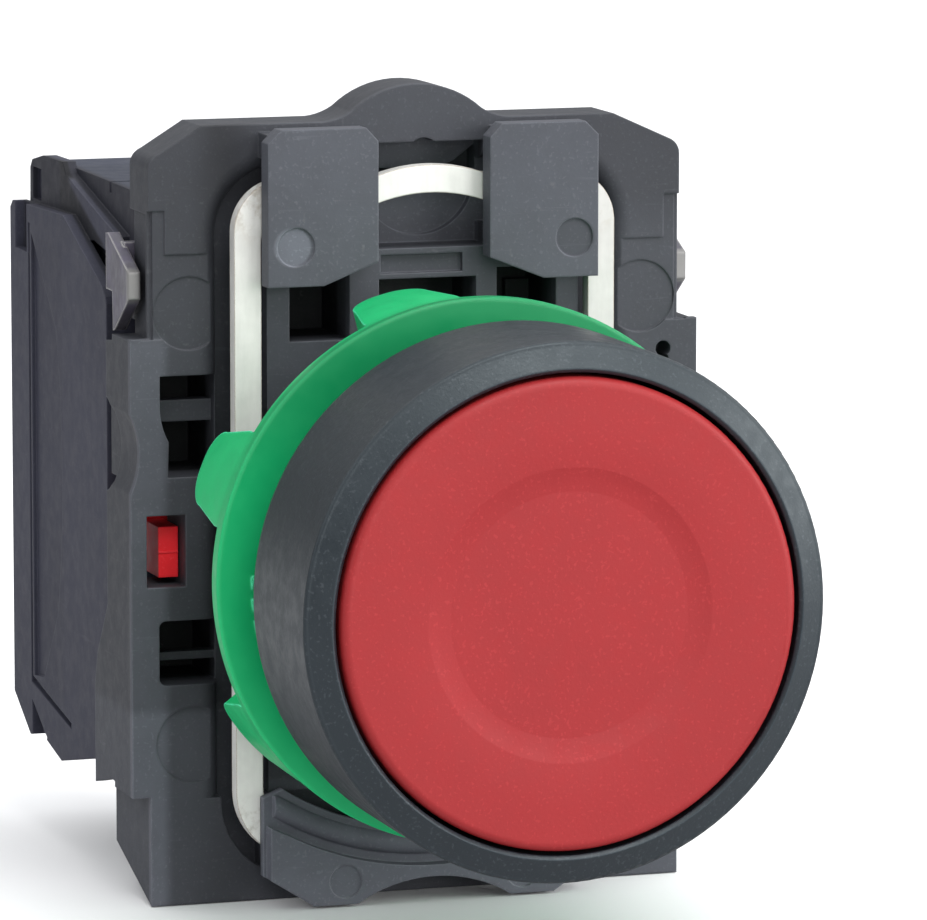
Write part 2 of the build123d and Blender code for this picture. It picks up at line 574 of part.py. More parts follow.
def contact_housing():
    cut_x = BLK_X0 - 0.1
    inner_x = BLK_X0 + WALL
    housing = prism_x(OUTER_SKIN, BLK_X0, BLK_X0 + 0.85)
    housing += prism_x(INNER_SKIN, BLK_X0 + 0.8, BLK_X0 + 1.6)
    housing += prism_x(TOP_RIDGE, BLK_X0 + 0.8, BLK_X0 + 1.6)
    housing += prism_x(BODY, BLK_X0 + 1.5, COVER_X)
    housing -= prism_x(CAVITY, inner_x, BLK_X1 + 0.1)
    # recessed marking panel on the left side, with lines behind and below it
    housing -= prism_x(MARKING_PANEL, cut_x, BLK_X0 + 0.25)
    housing -= box(cut_x, BLK_X0 + 0.5, 39.0, 39.4, -11.3, 15.9)
    housing -= prism_x([(39.4, -10.9), (39.4, -11.4), (30.3, -12.7), (30.3, -12.3)],
                       cut_x, BLK_X0 + 0.35)
    # notch in the lower edge, towards the rear
    housing -= prism_x([(39.3, -12.4), (35.9, -14.15), (36.8, -15.2), (39.3, -15.2)],
                       cut_x, BLK_X0 + 0.7)
    # pocket in the upper rear corner of the side, and one in the ridge
    housing -= box(cut_x, BLK_X0 + 0.6, 39.7, 42.4, 14.1, 18.0)
    housing -= box(BLK_X0 + 0.7, BLK_X0 + 1.3, 39.2, 41.2, 17.1, 19.0)
    # slit across the top
    housing -= box(inner_x - 0.1, BLK_X1, 26.2, 26.6, 18.9, 20)
    # plunger slot in the front wall, open to the right
    housing -= box(inner_x, BLK_X1 + 0.1, BLK_Y0 - 0.3, 23.5, *SLOT_Z)
    # seat of the plunger's return spring
    housing += box(inner_x - 0.1, BLK_X1 - 1.2, SEAT_Y, 38.0, -3.0, 2.8)
    # wire entries at top and bottom
    housing -= box(-13.6, -8.4, 37.9, 41.6, 14.0, 17.0)
    housing -= box(-13.6, -8.4, 35.6, 38.9, -15.5, -12.5)
    # screwdriver wells in the rear wall
    for _, screw_z in TERMINALS.values():
        housing -= cyl_y(2.75, 42.0, 44.0, SCREW_X, screw_z)
    # ribs that hold the fixed contacts
    for z0, z1 in ((3.6, 11.3), (-7.6, -3.9)):
        housing += box(inner_x - 0.1, inner_x + 1.4, 25.6, 27.0, z0, z1)
    return housing


def contact_cover():
    """Right-hand side cover with the plunger slot and a shallow recess."""
    cover = prism_x(BODY, COVER_X, BLK_X1)
    cover -= box(BLK_X1 - 2, BLK_X1 + 0.1, BLK_Y0 - 0.1, 26.2, *SLOT_Z)
    cover -= prism_x([(28, -9), (41, -9), (41, 14), (28, 14)], BLK_X1 - 0.2, BLK_X1 + 0.1)
    return cover


def contact_plunger():
    """Bar across the front, indicator nose on the left, stem inside."""
    left_x, nose_x = -14.7, -13.57
    bottom = PLUNGER_Z - 1.5
    plunger = box(left_x, -4.1, 19.0, 21.4, bottom, PLUNGER_Z + 1.5)
    nose = box(left_x, nose_x, 16.0, 19.2, bottom, PLUNGER_Z + 1.35)
    nose += prism_x([(16.1, -0.32), (15.93, -0.2), (16.1, -0.08)], left_x, nose_x)
    plunger += nose
    plunger += box(-13.2, -8.2, 21.0, 28.2, bottom, PLUNGER_Z + 1.5)
    plunger += box(-12.8, -8.6, 28.2, 29.4, PLUNGER_Z - 2.5, PLUNGER_Z + 2.5)
    # window that carries the bridge and its spring, 1.5 mm open in front of the bridge
    plunger -= box(-12.3, -9.1, BRIDGE_Y - 1.5, 28.2, PLUNGER_Z - 2.0, PLUNGER_Z + 2.0)
    return plunger


def moving_bridge():
    return box(BRIDGE_X - 1.3, BRIDGE_X + 1.3, BRIDGE_Y, BRIDGE_Y + BRIDGE_T,
               PLUNGER_Z - 5.8, PLUNGER_Z + 5.8)


def tip_pair(radius, y0, y1):
    """Contact tips above and below the plunger axis."""
    return Compound(children=[
        one(cyl_y(radius, y0, y1, BRIDGE_X, PLUNGER_Z + dz)) for dz in (TIP_DZ, -TIP_DZ)])


def fixed_contact(direction, screw_z):
    """Pad in front of the bridge, strip back, terminal plate at the rear."""
    pad_z = PLUNGER_Z + direction * 3.7
    strip_z = PLUNGER_Z + direction * 7.1
    strip_inner_z = strip_z - direction * 0.6
    x0, x1 = BRIDGE_X - 1.5, BRIDGE_X + 1.5
    contact = box(x0, x1, 23.4, PAD_Y, pad_z, strip_z)
    contact += box(x0, x1, 23.4, TERMINAL_Y, strip_inner_z, strip_z)
    contact += box(SCREW_X - 2.5, SCREW_X + 2.5, TERMINAL_Y - 0.8, TERMINAL_Y,
                   strip_inner_z, screw_z + direction * 2.9)
    contact -= cyl_y(1.75, 37, 40, SCREW_X, screw_z)
    return contact


def clamp_plate(screw_z):
    """Captive plate under the screw head, with a V groove in its front face."""
    plate = box(SCREW_X - 2.3, SCREW_X + 2.3, 39.03, 39.93, screw_z - 2.3, screw_z + 2.3)
    plate -= cyl_y(1.8, 38, 41, SCREW_X, screw_z)
    plate -= prism_x([(39.0, screw_z - 0.35), (39.2, screw_z), (39.0, screw_z + 0.35),
                      (38.9, screw_z)], SCREW_X - 2.4, SCREW_X + 2.4)
    return plate


def terminal_screw(screw_z):
    """Screw with a cross-slotted head at the rear."""
    screw = rev_y([
        (0.0, 34.6), (1.3, 34.6), (1.7, 35.0), (1.7, 39.95), (2.35, 39.95),
        (2.35, 41.2), ("arc", (2.2, 41.6), (1.75, 41.75)), (0.0, 41.75)], SCREW_X, screw_z)
    for angle in (45, 135):
        screw -= Pos(SCREW_X, 41.4, screw_z) * Rot(0, angle, 0) * Box(0.55, 0.9, 3.3)
    return screw


# --- build and write -------------------------------------------------------
parts = {
    "bezel_body": bezel_body(),
    "panel_gasket": panel_gasket(),
    "button_seal": button_seal(),
    "button_cap": button_cap(),
    "button_pusher": button_pusher(),
    "button_return_spring": coil_y(10.15, 0.35, CAP_BACK_Y, WELL_FLOOR_Y, turns=3.5),
    "fixing_nut": fixing_nut(),
    "collar_body": collar_body(),
    "lock_frame": lock_frame(),
    "lock_lever": lock_lever(),
    "side_plate_left": side_plate(-1),
    "side_plate_right": side_plate(1),
    "contact_housing": contact_housing(),
    "contact_cover": contact_cover(),
    "contact_plunger": contact_plunger(),
    "moving_bridge": moving_bridge(),
    "bridge_tips": tip_pair(0.9, BRIDGE_Y - 0.4, BRIDGE_Y),
    "fixed_tips": tip_pair(0.95, PAD_Y, BRIDGE_Y - 0.41),
    "bridge_spring": coil_y(0.85, 0.17, BRIDGE_Y + BRIDGE_T + 0.02, 28.18, turns=3.5,
                            x=BRIDGE_X, z=PLUNGER_Z),
    "plunger_spring": coil_y(1.5, 0.26, 29.42, SEAT_Y - 0.02, turns=6,
                             x=BRIDGE_X, z=PLUNGER_Z),
}
for place, (direction, screw_z) in TERMINALS.items():
    parts["fixed_contact_" + place] = fixed_contact(direction, screw_z)
    parts["clamp_plate_" + place] = clamp_plate(screw_z)
    parts["terminal_screw_" + place] = terminal_screw(screw_z)

os.makedirs("parts", exist_ok=True)
for name, shape in parts.items():
    export_step(one(shape), os.path.join("parts", name + ".step"))
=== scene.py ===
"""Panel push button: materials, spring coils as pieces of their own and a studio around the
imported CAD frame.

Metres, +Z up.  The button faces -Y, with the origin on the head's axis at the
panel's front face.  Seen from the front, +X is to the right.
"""
import json
import math
from functools import cached_property

import bpy
from mathutils import Matrix, Vector


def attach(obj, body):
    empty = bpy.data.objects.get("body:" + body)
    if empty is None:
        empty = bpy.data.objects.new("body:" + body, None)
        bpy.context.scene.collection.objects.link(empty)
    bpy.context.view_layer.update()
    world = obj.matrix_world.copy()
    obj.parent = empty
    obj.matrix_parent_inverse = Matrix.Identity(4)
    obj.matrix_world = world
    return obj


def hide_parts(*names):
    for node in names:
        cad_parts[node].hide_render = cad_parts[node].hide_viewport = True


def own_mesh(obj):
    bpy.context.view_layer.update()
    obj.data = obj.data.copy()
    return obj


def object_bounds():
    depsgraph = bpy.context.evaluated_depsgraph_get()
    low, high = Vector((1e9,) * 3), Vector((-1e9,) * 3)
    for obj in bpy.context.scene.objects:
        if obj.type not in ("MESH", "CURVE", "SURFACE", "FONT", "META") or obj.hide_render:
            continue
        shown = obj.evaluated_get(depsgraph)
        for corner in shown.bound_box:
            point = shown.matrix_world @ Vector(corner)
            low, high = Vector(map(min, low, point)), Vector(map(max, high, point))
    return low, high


MM = 0.001
OPEN = (None, None)     # a mask axis without limits


def current_bounds():
    return [[float(value) for value in corner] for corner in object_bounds()]


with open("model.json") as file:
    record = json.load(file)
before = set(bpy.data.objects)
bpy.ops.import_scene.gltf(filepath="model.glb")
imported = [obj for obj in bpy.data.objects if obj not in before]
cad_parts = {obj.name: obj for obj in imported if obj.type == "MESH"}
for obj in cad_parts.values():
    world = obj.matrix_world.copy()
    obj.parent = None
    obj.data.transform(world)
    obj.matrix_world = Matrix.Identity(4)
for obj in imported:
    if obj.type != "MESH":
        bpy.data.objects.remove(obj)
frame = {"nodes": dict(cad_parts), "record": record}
CAD_BOUNDS = current_bounds()
scene = bpy.context.scene


# --- node helpers -------------------------------------------------------------
class Tree:
    """A cleared node tree; values may be numbers or output sockets."""

    def __init__(self, owner):
        owner.use_nodes = True
        self.tree = owner.node_tree
        self.tree.nodes.clear()

    def put(self, socket, value):
        if isinstance(value, bpy.types.NodeSocket):
            self.tree.links.new(value, socket)
        else:
            socket.default_value = value

    def node(self, kind, inputs=None, **settings):
        """Add a node; inputs maps socket names or indices to values."""
        node = self.tree.nodes.new("ShaderNode" + kind)
        for name, value in settings.items():
            setattr(node, name, value)
        for key, value in (inputs or {}).items():
            self.put(node.inputs[key], value)
        return node

    def ramp(self, value, low, high, start=0.0, end=1.0):
        """Go smoothly from start to end as value goes from low to high."""
        node = self.node("MapRange", {"Value": value, "From Min": low, "From Max": high,
                                      "To Min": start, "To Max": end},
                         interpolation_type="SMOOTHSTEP")
        return node.outputs["Result"]

    def camera_ray(self):
        return self.node("LightPath").outputs["Is Camera Ray"]


class Material(Tree):
    """A Principled material, with masks measured in millimetres of object space."""

    def __init__(self, name):
        self.material = bpy.data.materials.new(name)
        super().__init__(self.material)
        output = self.node("OutputMaterial")
        self.bsdf = self.node("BsdfPrincipled")
        self.put(output.inputs["Surface"], self.bsdf.outputs[0])
        self.coords = self.node("TexCoord").outputs["Object"]

    def set(self, **inputs):
        """Set Principled inputs; underscores stand for spaces."""
        for name, value in inputs.items():
            self.put(self.bsdf.inputs[name.replace("_", " ")], value)

    def math(self, operation, first, second=0.0, third=0.0):
        inputs = {0: first, 1: second, 2: third}
        return self.node("Math", inputs, operation=operation).outputs[0]

    def product(self, first, *others):
        for other in others:
            first = self.math("MULTIPLY", first, other)
        return first

    def fall(self, value, low, high):
        return self.ramp(value, low, high, start=1.0, end=0.0)

    def swing(self, noise, amount=1.0):
        """Spread the middle of a noise over -amount..amount."""
        return self.ramp(noise, 0.3, 0.7, start=-amount, end=amount)

    def mix(self, factor, first, second, mode="MIX"):
        inputs = {0: factor, 6: first, 7: second}
        return self.node("Mix", inputs, data_type="RGBA", blend_type=mode).outputs[2]

    def rgb(self, color):
        output = self.node("RGB").outputs[0]
        output.default_value = color
        return output

    def shade(self, color, level):
        """Multiply all channels of a colour by level."""
        tone = self.node("CombineColor", {0: level, 1: level, 2: level}).outputs[0]
        return self.mix(1.0, color, tone, mode="MULTIPLY")

    def scale(self, color, mask, gain):
        """Multiply a colour by gain where the mask is 1."""
        return self.shade(color, self.math("MULTIPLY_ADD", mask, gain - 1.0, 1.0))

    def noise(self, scale, detail=2.0, roughness=0.5, stretch=None, distortion=0.0):
        coords = self.coords
        if stretch:
            coords = self.node("Mapping", {"Vector": coords, "Scale": stretch}).outputs[0]
        node = self.node("TexNoise", {"Scale": scale, "Detail": detail, "Vector": coords,
                                      "Roughness": roughness, "Distortion": distortion})
        return node.outputs["Fac"]

    def rounded(self, radius):
        return self.node("Bevel", {"Radius": radius}, samples=6).outputs[0]

    def edge_turn(self, soft_normal):
        """How far the rounded normal leaves the face's own: above 0 along edges."""
        normal = self.node("NewGeometry").outputs["Normal"]
        dot = self.node("VectorMath", {0: soft_normal, 1: normal}, operation="DOT_PRODUCT")
        return self.math("SUBTRACT", 1.0, dot.outputs["Value"])

    def bump(self, height, distance, strength, normal):
        return self.node("Bump", {"Strength": strength, "Distance": distance,
                                  "Height": height, "Normal": normal}).outputs[0]

    @cached_property
    def axes(self):
        """Object X, Y and Z in millimetres."""
        split = self.node("SeparateXYZ", {0: self.coords})
        return [self.math("MULTIPLY", output, 1000.0) for output in split.outputs]

    def box(self, soft, x=OPEN, y=OPEN, z=OPEN):
        """1 inside the (low, high) limits, 0 outside; soft is half the edge's width."""
        steps = []
        for axis, (low, high) in zip(self.axes, (x, y, z)):
            for edge, step in ((low, self.ramp), (high, self.fall)):
                if edge is not None:
                    steps.append(step(axis, edge - soft, edge + soft))
        return self.product(*steps)

    def disc(self, x, z, radius, soft=0.1):
        """1 inside a disc seen along Y, 0 outside."""
        across = self.math("SUBTRACT", self.axes[0], x)
        upward = self.math("SUBTRACT", self.axes[2], z)
        squares = self.math("ADD", self.product(across, across), self.product(upward, upward))
        distance = self.math("SQRT", squares)
        return self.fall(distance, radius - soft, radius + soft)

    def dust(self, color, scale, full, amount, dust_color):
        """Fine specks where the noise rises from 0.60 to full."""
        specks = self.ramp(self.noise(scale, detail=4.0, roughness=0.7), 0.60, full)
        return self.mix(self.product(specks, amount), color, dust_color)

    def finish(self, color, roughness, smoothest, normal):
        limited = self.math("MINIMUM", self.math("MAXIMUM", roughness, smoothest), 1.0)
        self.set(Base_Color=color, Roughness=limited, Normal=normal)


# --- local tones, mostly painted light and shade: limits in mm, gain multiplies the colour ---
def collar_finish_and_painted_light(mat, color, roughness):
    """Front parts are paler and more matt, partly from their textured finish and partly as
    painted light; other faces get painted light and painted shade, and pockets are darker with
    painted shade.
    """
    x, y, z = mat.axes

    def tone(mask, gain):
        nonlocal color
        color = mat.scale(color, mask, gain)

    front = mat.box(0.1, y=(None, 12.75))
    # front parts paler: their textured finish plus painted light
    tone(front, gain=1.75)
    # painted light on the lower front, then on the core behind the front parts
    tone(mat.box(0.3, y=(None, 13.95), z=(None, -13.0)), gain=1.7)
    tone(mat.box(0.1, x=(-9.2, 9.2), y=(12.75, 14.2), z=(8.0, 19.0)), gain=1.5)
    # painted light on the top and right of the main face
    face = mat.box(0.1, y=(14.3, 15.1))
    tone(mat.product(face, mat.box(1.2, x=(-9.0, 8.0), z=(19.2, None))), gain=1.3)
    tone(mat.product(face, mat.box(1.5, x=(7.0, None), z=(None, 18.0))), gain=1.3)
    # painted light on the bottom
    tone(mat.box(0.4, y=(14.1, 23.0), z=(None, -9.0)), gain=1.45)
    # painted light on the left rim of the face, and a painted shadow strip inside it that fades
    # downwards
    tone(mat.product(face, mat.box(0.4, x=(None, -14.6), z=(None, 12.0))), gain=1.9)
    painted_shadow_strip = mat.product(face, mat.ramp(x, -13.6, -11.4), mat.fall(x, -11.3, -9.0),
                        mat.ramp(z, 15.0, 18.0, start=0.45))
    tone(painted_shadow_strip, gain=0.55)
    # painted shade in the deep pocket, and painted light on the small back wall above it
    tone(mat.box(0.3, x=(-9.3, 9.3), y=(15.9, None), z=(10.0, 15.9)), gain=0.30)
    tone(mat.box(0.2, x=(-4.6, 4.9), y=(15.6, 17.2), z=(16.2, 22.7)), gain=1.9)
    # painted shade in the two wells on the left
    wells = [mat.box(0.3, x=(-15.4, -11.2), y=(17.2, None), z=heights)
             for heights in ((4.0, 10.2), (-7.9, -3.4))]
    tone(mat.math("MAXIMUM", *wells), gain=0.22)
    # witness marks of the moulding pins on the two tabs
    tabs = mat.box(0.1, y=(None, 12.2))
    tone(mat.product(tabs, mat.disc(x=-8.2, z=17.2, radius=1.08)), gain=1.7)
    tone(mat.product(tabs, mat.disc(x=8.3, z=17.2, radius=1.08)), gain=0.75)

    color = mat.dust(color, scale=1500.0, full=0.78, amount=0.22,
                     dust_color=(0.17, 0.17, 0.17, 1))
    return color, mat.math("MULTIPLY_ADD", front, 0.05, roughness)


def nut_painted_light(mat, color, roughness):
    """Painted light and shade on the nut: paler towards the bottom and deeper towards the top,
    most of all as painted shade on its front flat, with a painted highlight behind the flat.
    """
    y, z = mat.axes[1:]
    # painted light, growing towards the bottom
    color = mat.scale(color, mat.ramp(z, -13.0, 6.0, start=1.45, end=0.55), gain=1.6)
    # painted shade on the top of the front flat
    flat = mat.fall(y, 3.2, 3.6)
    color = mat.scale(color, mat.product(flat, mat.ramp(z, 4.0, 13.0)), gain=0.58)
    # painted highlight on the rim and skirt behind the flat
    color = mat.scale(color, mat.ramp(y, 3.6, 4.4), gain=1.12)
    return color, roughness


def block_shade_and_dust(mat, color, roughness):
    """Darker left panel and top as painted shade, a step split by a sloping line into painted
    shade and a painted highlight, and dust.
    """
    y, z = mat.axes[1:]
    # painted shade on the left panel, then on the top
    panel = mat.box(0.15, x=(None, -15.3), y=(31.8, 38.4), z=(-11.4, 15.2))
    color = mat.scale(color, panel, gain=0.92)
    top = mat.box(0.15, x=(-15.3, None), y=(None, 35.0), z=(16.0, None))
    color = mat.scale(color, top, gain=0.45)
    # height above a line that climbs 0.37 mm per mm towards the back
    step = mat.box(0.08, x=(-15.45, -14.9), z=(13.8, None))
    rise = mat.math("SUBTRACT", z, mat.math("MULTIPLY_ADD", y, 0.37, 5.53))
    band = mat.product(step, mat.ramp(rise, 0.9, 1.3))
    # painted shade below the line; above it, painted shade towards the back and a painted
    # highlight on the front of the ridge
    color = mat.scale(color, mat.product(step, mat.fall(rise, 0.9, 1.3)), gain=0.45)
    color = mat.scale(color, mat.product(band, mat.ramp(y, 32.5, 33.5)), gain=0.30)
    color = mat.scale(color, mat.product(band, mat.fall(y, 32.5, 33.5)), gain=2.3)
    # even painted shade over the top
    even = mat.rgb((0.030, 0.036, 0.055, 1))
    cover = mat.box(0.3, x=(-14.2, None), z=(16.0, None))
    color = mat.mix(mat.product(cover, 0.7), color, even)
    color = mat.dust(color, scale=1300.0, full=0.80, amount=0.20,
                     dust_color=(0.15, 0.15, 0.16, 1))
    return color, roughness


def frame_rubs_and_painted_light(mat, color):
    """Brown rub marks at the bends of the white locking frame, over painted light and painted
    shade.
    """
    x, _, z = mat.axes
    bends = None
    for bend_x, bend_z in ((-9.6, 19.6), (9.6, 19.6), (-9.4, -15.9), (9.4, -15.9)):
        bend = mat.disc(bend_x, bend_z, radius=1.9, soft=0.9)
        bends = bend if bends is None else mat.math("MAXIMUM", bends, bend)
    # painted light towards the bottom, painted shade on the right
    color = mat.scale(color, mat.fall(z, -14.0, 8.0), gain=1.40)
    color = mat.scale(color, mat.ramp(x, 6.0, 9.0), gain=0.80)
    blotches = mat.ramp(mat.noise(1100.0, detail=4.0, roughness=0.65), 0.45, 0.7)
    rub = mat.product(bends, blotches, 0.55)
    return mat.mix(rub, color, (0.33, 0.27, 0.19, 1))


def plate_marks(mat, color):
    """Paler front nose and a violet haze on the dark side plates."""
    nose = mat.fall(mat.axes[1], 16.05, 16.35)
    color = mat.mix(nose, color, (0.235, 0.23, 0.225, 1))
    haze = mat.ramp(mat.noise(500.0, detail=3.0, roughness=0.6), 0.45, 0.7)
    return mat.mix(mat.product(haze, 0.25), color, (0.16, 0.13, 0.24, 1))


# --- material families ----------------------------------------------------------
def lighter(color, gain, lift):
    return tuple(min(1.0, channel * gain + lift) for channel in color[:3]) + (1.0,)


def plastic(name, base, roughness=0.45, specular=0.5, grain_scale=6500.0, grain_depth=6e-6,
            grain_strength=0.6, variation=0.10, glint_specks=0.0, edge_wear_and_highlight=0.5, radius=0.14 * MM,
            wave_depth=15e-6, scuffs=0.0, zones=None, worn_and_highlight=None, specular_tint=None):
    """Moulded plastic: spark-eroded grain, soft colour drift, lighter specks painted as glints,
    edges lightened as wear and as painted highlights.
    """
    mat = Material(name)
    worn_and_highlight = worn_and_highlight or lighter(base, gain=1.7, lift=0.02)

    # soft drift of the colour
    drift = mat.noise(90.0, detail=3.0, roughness=0.55)
    cloud = mat.noise(900.0, detail=4.0, roughness=0.6)
    light = mat.math("ADD", mat.swing(drift, 0.5), mat.swing(cloud, 0.35))
    color = mat.shade(mat.rgb(base), mat.math("MULTIPLY_ADD", light, variation, 1.0))
    # lighter specks painted into the colour as glints off the grain
    if glint_specks:
        glint_dots = mat.ramp(mat.noise(5200.0, detail=1.0), 0.60, 0.72)
        color = mat.mix(mat.product(glint_dots, glint_specks), color, lighter(base, gain=1.9, lift=0.03))

    # edges lightened: partly rubbed wear, partly painted highlights along the rounded edges
    soft = mat.rounded(radius)
    rub = mat.product(mat.ramp(mat.edge_turn(soft), 0.015, 0.22),
                      mat.ramp(cloud, 0.25, 0.6, start=0.45), edge_wear_and_highlight)
    color = mat.mix(rub, color, worn_and_highlight)

    gloss = mat.math("MULTIPLY_ADD", mat.swing(cloud), 0.06, roughness)
    if scuffs:
        lines = mat.noise(300.0, detail=3.0, roughness=0.7, stretch=(1.0, 1.0, 14.0),
                          distortion=0.6)
        scuff = mat.product(mat.ramp(lines, 0.62, 0.72), scuffs)
        gloss = mat.math("SUBTRACT", gloss, mat.product(scuff, 0.12))
        color = mat.mix(mat.product(scuff, 0.3), color, worn_and_highlight)
    if zones:
        color, gloss = zones(mat, color, gloss)

    # relief: broad waves, fine grain, then pits
    normal = soft
    if wave_depth:
        normal = mat.bump(mat.noise(140.0), wave_depth, 0.5, normal)
    normal = mat.bump(mat.noise(grain_scale, roughness=0.6), grain_depth, grain_strength, normal)
    pits = mat.node("TexVoronoi", {"Scale": grain_scale * 0.55, "Vector": mat.coords},
                    feature="F1").outputs["Distance"]
    normal = mat.bump(pits, grain_depth * 0.8, grain_strength * 0.6, normal)

    mat.finish(color, gloss, smoothest=0.05, normal=normal)
    mat.set(Specular_IOR_Level=specular)
    if specular_tint:
        mat.set(Specular_Tint=specular_tint)
    return mat.material


def metal(name, base, roughness=0.25, brush=(1.0, 1.0, 12.0), brush_scale=900.0,
          tint=(0.35, 0.27, 0.18, 1.0), edge_tint=0.35, radius=0.1 * MM, metallic=1.0,
          stains=0.0, marks=None):
    """Plated or bare metal: brushing, uneven gloss, edges mixed towards the tint."""
    variation = 0.06
    relief = 1.5e-6
    mat = Material(name)

    brushed = mat.noise(brush_scale, detail=4.0, roughness=0.65, stretch=brush)
    cloud = mat.noise(420.0, detail=4.0, roughness=0.6)
    level = mat.math("MULTIPLY_ADD", mat.swing(cloud), variation, 1.0)
    level = mat.math("MULTIPLY_ADD", mat.swing(brushed), variation * 0.6, level)
    color = mat.shade(mat.rgb(base), level)

    soft = mat.rounded(radius)
    rim = mat.product(mat.ramp(mat.edge_turn(soft), 0.01, 0.2),
                      mat.ramp(cloud, 0.2, 0.6, start=0.5), edge_tint)
    color = mat.mix(rim, color, tint)
    if stains:
        patches = mat.ramp(mat.noise(210.0, detail=5.0, roughness=0.65), 0.56, 0.75)
        color = mat.mix(mat.product(patches, stains), color, tint)
    if marks:
        color = marks(mat, color)

    gloss = mat.math("MULTIPLY_ADD", mat.swing(brushed), 0.07, roughness)
    gloss = mat.math("MULTIPLY_ADD", mat.swing(cloud), 0.05, gloss)
    normal = mat.bump(brushed, relief, 0.6, soft)
    normal = mat.bump(mat.noise(5200.0), relief, 0.5, normal)
    mat.finish(color, gloss, smoothest=0.04, normal=normal)
    mat.set(Metallic=metallic)
    return mat.material


PLASTICS = {
    "bezel_plastic": dict(
        base=(0.0065, 0.0095, 0.0135, 1), roughness=0.42, specular=0.55,
        grain_scale=7000.0, grain_depth=9e-6, grain_strength=0.8, glint_specks=0.45,
        edge_wear_and_highlight=0.55, radius=0.16 * MM, wave_depth=0.0, worn_and_highlight=(0.035, 0.055, 0.075, 1),
        specular_tint=(0.86, 0.97, 1.0, 1)),
    "button_red": dict(
        base=(0.272, 0.0145, 0.0165, 1), roughness=0.52, specular=0.30,
        grain_depth=8e-6, grain_strength=0.7, variation=0.06, glint_specks=0.16,
        edge_wear_and_highlight=0.25, radius=0.10 * MM),
    # the nut's pale green edge colour is a painted highlight on its rims
    "nut_green": dict(
        base=(0.006, 0.285, 0.095, 1), roughness=0.38, specular=0.30,
        grain_scale=4200.0, grain_depth=3e-6, grain_strength=0.35, variation=0.07,
        edge_wear_and_highlight=0.9, radius=0.22 * MM, worn_and_highlight=(0.10, 0.72, 0.42, 1), zones=nut_painted_light),
    "collar_plastic": dict(
        base=(0.036, 0.038, 0.045, 1), roughness=0.60, specular=0.28,
        grain_scale=5200.0, grain_depth=9e-6, grain_strength=0.8, variation=0.16,
        glint_specks=0.15, edge_wear_and_highlight=0.45, radius=0.15 * MM, scuffs=0.30,
        worn_and_highlight=(0.11, 0.115, 0.13, 1), zones=collar_finish_and_painted_light),
    "block_plastic": dict(
        base=(0.034, 0.035, 0.052, 1), roughness=0.62, specular=0.25,
        grain_scale=5000.0, variation=0.16, grain_depth=7e-6, glint_specks=0.12, scuffs=0.25,
        worn_and_highlight=(0.10, 0.10, 0.13, 1), zones=block_shade_and_dust),
    "pusher_plastic": dict(base=(0.50, 0.50, 0.48, 1), roughness=0.40, variation=0.05),
    # the plunger's red is raised far above the real red, as painted light for its shaded window
    "plunger_red": dict(
        base=(0.98, 0.020, 0.032, 1), roughness=0.42, specular=0.3,
        grain_scale=5000.0, grain_depth=7e-6, grain_strength=0.7, glint_specks=0.35,
        edge_wear_and_highlight=0.35, radius=0.10 * MM),
    "gasket_rubber": dict(
        base=(0.012, 0.012, 0.013, 1), roughness=0.75, specular=0.3,
        grain_scale=3500.0, grain_depth=8e-6, variation=0.2, edge_wear_and_highlight=0.1),
}
METALS = {
    "frame_steel": dict(
        base=(0.70, 0.69, 0.655, 1), roughness=0.40, metallic=0.12,
        brush=(1.0, 1.0, 0.12), brush_scale=1800.0, tint=(0.26, 0.18, 0.11, 1.0),
        edge_tint=0.9, radius=0.13 * MM, marks=frame_rubs_and_painted_light),
    "plate_steel": dict(
        base=(0.105, 0.10, 0.12, 1), roughness=0.45, metallic=0.6,
        brush=(1.0, 1.0, 0.5), brush_scale=2600.0, tint=(0.52, 0.51, 0.48, 1.0),
        edge_tint=0.95, radius=0.2 * MM, stains=0.25, marks=plate_marks),
    "spring_steel": dict(base=(0.55, 0.55, 0.56, 1), roughness=0.28),
    "screw_steel": dict(base=(0.60, 0.59, 0.57, 1), roughness=0.30, stains=0.15),
    "contact_brass": dict(base=(0.72, 0.50, 0.20, 1), roughness=0.30, stains=0.15,
                          tint=(0.25, 0.15, 0.06, 1.0)),
    "tip_silver": dict(base=(0.85, 0.85, 0.84, 1)),
}


def assign_materials():
    materials = {name: plastic(name, **look) for name, look in PLASTICS.items()}
    materials.update({name: metal(name, **look) for name, look in METALS.items()})
    slots = {part["node"]: part["material_slot"] for part in frame["record"]["subparts"]}
    for name, obj in frame["nodes"].items():
        obj.data.materials.clear()
        obj.data.materials.append(materials[slots[name]])


# --- springs as pieces of their own -----------------------------------------------
def add_object(name, data):
    obj = bpy.data.objects.new(name, data)
    scene.collection.objects.link(obj)
    return obj


def coil(name, node):
    """The coil as a piece of its own on the housing, replacing the hidden CAD part."""
    obj = add_object(name, frame["nodes"][node].data.copy())
    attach(obj, "housing")
    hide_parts(node)
    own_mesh(obj)


# --- studio -------------------------------------------------------------------------
def studio_floor():
    """A round floor just under the button."""
    radius = 3.0
    gap = 0.05 * MM
    segments = 96

    mat = Material("studio_floor")
    pale = mat.mix(mat.noise(6.0, detail=3.0), (0.86, 0.86, 0.865, 1), (0.90, 0.90, 0.90, 1))
    # pale to the camera, a mid grey to the object standing on it
    color = mat.mix(mat.camera_ray(), (0.48, 0.48, 0.49, 1), pale)
    mat.set(Base_Color=color, Roughness=0.7, Specular_IOR_Level=0.25)

    z = CAD_BOUNDS[0][2] - gap
    angles = [2 * math.pi * i / segments for i in range(segments)]
    verts = [(0.0, 0.0, z)]
    verts += [(radius * math.cos(angle), radius * math.sin(angle), z) for angle in angles]
    faces = [(0, 1 + i, 1 + (i + 1) % segments) for i in range(segments)]
    mesh = bpy.data.meshes.new("studio_floor")
    mesh.from_pydata(verts, [], faces)
    mesh.materials.append(mat.material)
    add_object("studio_floor", mesh)


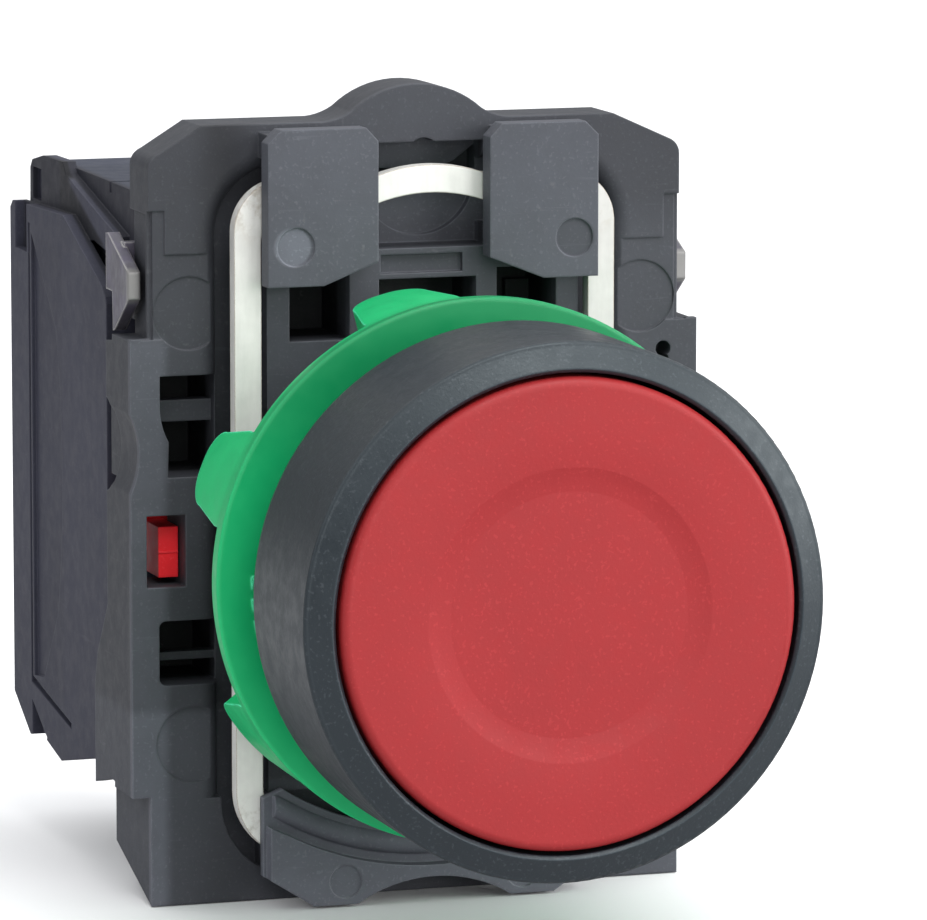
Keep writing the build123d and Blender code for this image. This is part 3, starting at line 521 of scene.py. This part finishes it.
def studio_world():
    """Light from above and both sides; an even near-white to the camera."""
    world = bpy.data.worlds.new("studio")
    scene.world = world
    tree = Tree(world)
    generated = tree.node("TexCoord").outputs["Generated"]
    x, _, z = tree.node("SeparateXYZ", {0: generated}).outputs

    above = tree.ramp(z, 0.10, 0.75, end=1.15)
    right = tree.ramp(x, 0.45, 0.95)
    left = tree.ramp(x, -0.5, -0.95, end=0.10)
    ambient = 0.22
    strength = above
    for part in (ambient, right, left):
        strength = tree.node("Math", {0: strength, 1: part}, operation="ADD").outputs[0]
    seen = tree.node("Mix", {0: tree.camera_ray(), 2: strength, 3: 0.97}, data_type="FLOAT")
    background = tree.node("Background", {"Color": (0.975, 0.985, 1.0, 1.0),
                                          "Strength": seen.outputs[0]})
    tree.node("OutputWorld", {0: background.outputs[0]})


def area(name, location, size, power, target=(0, 0, 0), color=(1, 1, 1)):
    """A rectangular light of (width, height) aimed at target."""
    light = bpy.data.lights.new(name, "AREA")
    light.shape = "RECTANGLE"
    light.size, light.size_y = size
    light.energy = power
    light.color = color
    obj = add_object(name, light)
    obj.location = location
    direction = Vector(target) - Vector(location)
    obj.rotation_euler = direction.to_track_quat("-Z", "Y").to_euler()


def camera():
    """A long lens from the front left, a little above."""
    yaw, pitch, roll = 0.315435, 0.145687, 0.00047     # radians
    data = bpy.data.cameras.new("camera")
    data.sensor_fit = "HORIZONTAL"
    data.sensor_width = 36.0
    data.lens = 271.852039
    data.clip_start = 0.01
    data.clip_end = 20.0
    obj = add_object("camera", data)

    forward = Vector((math.sin(yaw) * math.cos(pitch), math.cos(yaw) * math.cos(pitch),
                      -math.sin(pitch)))
    right = Vector((math.cos(yaw), -math.sin(yaw), 0.0))
    up = right.cross(forward)
    rolled_right = right * math.cos(roll) + up * math.sin(roll)
    rolled_up = up * math.cos(roll) - right * math.sin(roll)
    pose = Matrix((rolled_right, rolled_up, -forward)).transposed().to_4x4()
    pose.translation = Vector((-0.118112, -0.3557176, 0.0616027))
    obj.matrix_world = pose
    scene.camera = obj


def color_view():
    view = scene.view_settings
    view.view_transform = "Standard"
    view.look = "None"
    view.exposure = 0.0
    view.gamma = 1.0


assign_materials()
coil("return_coil", "button_return_spring")
coil("plunger_coil", "plunger_spring")
studio_floor()
studio_world()
area("key", location=(0.14, -0.40, 0.62), size=(0.50, 0.40), power=3.6)
area("front", location=(-0.12, -0.90, 0.12), size=(0.40, 0.40), power=1.5)
area("front_right", location=(0.36, -0.84, 0.16), size=(0.30, 0.30), power=1.8)
area("right", location=(0.62, -0.30, 0.12), size=(0.35, 0.45), power=2.5)
area("left", location=(-0.60, -0.10, 0.25), size=(0.35, 0.40), power=0.58,
     target=(0, 0.01, 0), color=(0.93, 0.96, 1.0))
camera()
color_view()
